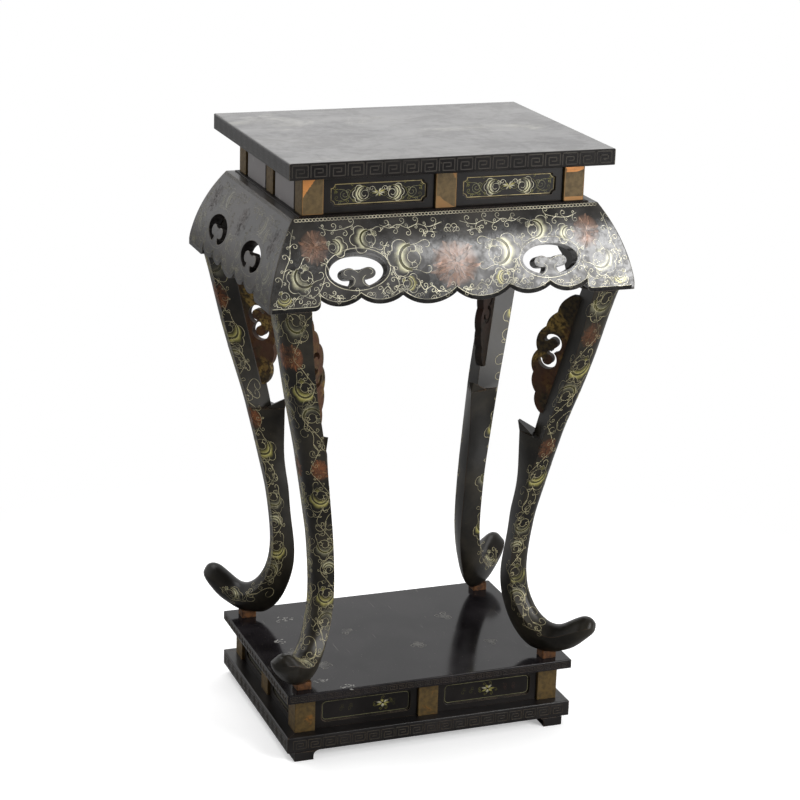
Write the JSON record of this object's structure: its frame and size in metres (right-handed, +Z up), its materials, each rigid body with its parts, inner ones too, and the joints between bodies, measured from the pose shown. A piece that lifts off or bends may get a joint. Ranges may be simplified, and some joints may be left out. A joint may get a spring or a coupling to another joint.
{
  "type": "vase stand",
  "caption": "Tall lacquered vase stand: waisted rectangular top, bulged scalloped aprons with cut-outs, curved spurred legs with upturned feet, openwork spandrels and a panelled base shelf.",
  "frame": {"origin": "middle of the footprint, on the ground", "axes": "+Z up, X along the width, the front faces -Y"},
  "size_m": [0.488, 0.363, 0.8],
  "materials": {
    "black_lacquer": "worn black lacquer",
    "decorated_lacquer": "black lacquer with gold scrolls",
    "gilt_wood": "worn gilt lacquer",
    "dull_gold": "dull rubbed gold lacquer",
    "plain_wood": "bare"
  },
  "bodies": {
    "root": {"apron_back": "decorated_lacquer", "apron_front": "decorated_lacquer", "apron_left": "decorated_lacquer", "apron_right": "decorated_lacquer", "base_corner_post_back_left": "gilt_wood", "base_corner_post_back_right": "gilt_wood", "base_corner_post_front_left": "gilt_wood", "base_corner_post_front_right": "gilt_wood", "base_mid_posts": "gilt_wood", "base_panels_back": "black_lacquer", "base_panels_front": "black_lacquer", "base_panels_left": "black_lacquer", "base_panels_right": "black_lacquer", "bottom_rail_back": "black_lacquer", "bottom_rail_front": "black_lacquer", "bottom_rail_left": "black_lacquer", "bottom_rail_right": "black_lacquer", "bracket_feet": "black_lacquer", "foot_block_back_left": "gilt_wood", "foot_block_back_right": "gilt_wood", "foot_block_front_left": "gilt_wood", "foot_block_front_right": "gilt_wood", "leg_back_left": "decorated_lacquer", "leg_back_right": "decorated_lacquer", "leg_dowels": "plain_wood", "leg_front_left": "decorated_lacquer", "leg_front_right": "decorated_lacquer", "shelf_panel": "black_lacquer", "shelf_rail_back": "black_lacquer", "shelf_rail_front": "black_lacquer", "shelf_rail_left": "black_lacquer", "shelf_rail_right": "black_lacquer", "spandrel_back_left": "dull_gold", "spandrel_back_right": "dull_gold", "spandrel_front_left": "dull_gold", "spandrel_front_right": "dull_gold", "top_brace": "plain_wood", "top_panel": "black_lacquer", "top_rail_back": "black_lacquer", "top_rail_front": "black_lacquer", "top_rail_left": "black_lacquer", "top_rail_right": "black_lacquer", "waist_corner_post_back_left": "gilt_wood", "waist_corner_post_back_right": "gilt_wood", "waist_corner_post_front_left": "gilt_wood", "waist_corner_post_front_right": "gilt_wood", "waist_mid_post_back": "gilt_wood", "waist_mid_post_front": "gilt_wood", "waist_mid_post_left": "gilt_wood", "waist_mid_post_right": "gilt_wood", "waist_moulding_back": "black_lacquer", "waist_moulding_front": "black_lacquer", "waist_moulding_left": "black_lacquer", "waist_moulding_right": "black_lacquer", "waist_panels_back": "black_lacquer", "waist_panels_front": "black_lacquer", "waist_panels_left": "black_lacquer", "waist_panels_right": "black_lacquer"}
  },
  "joints": []
}
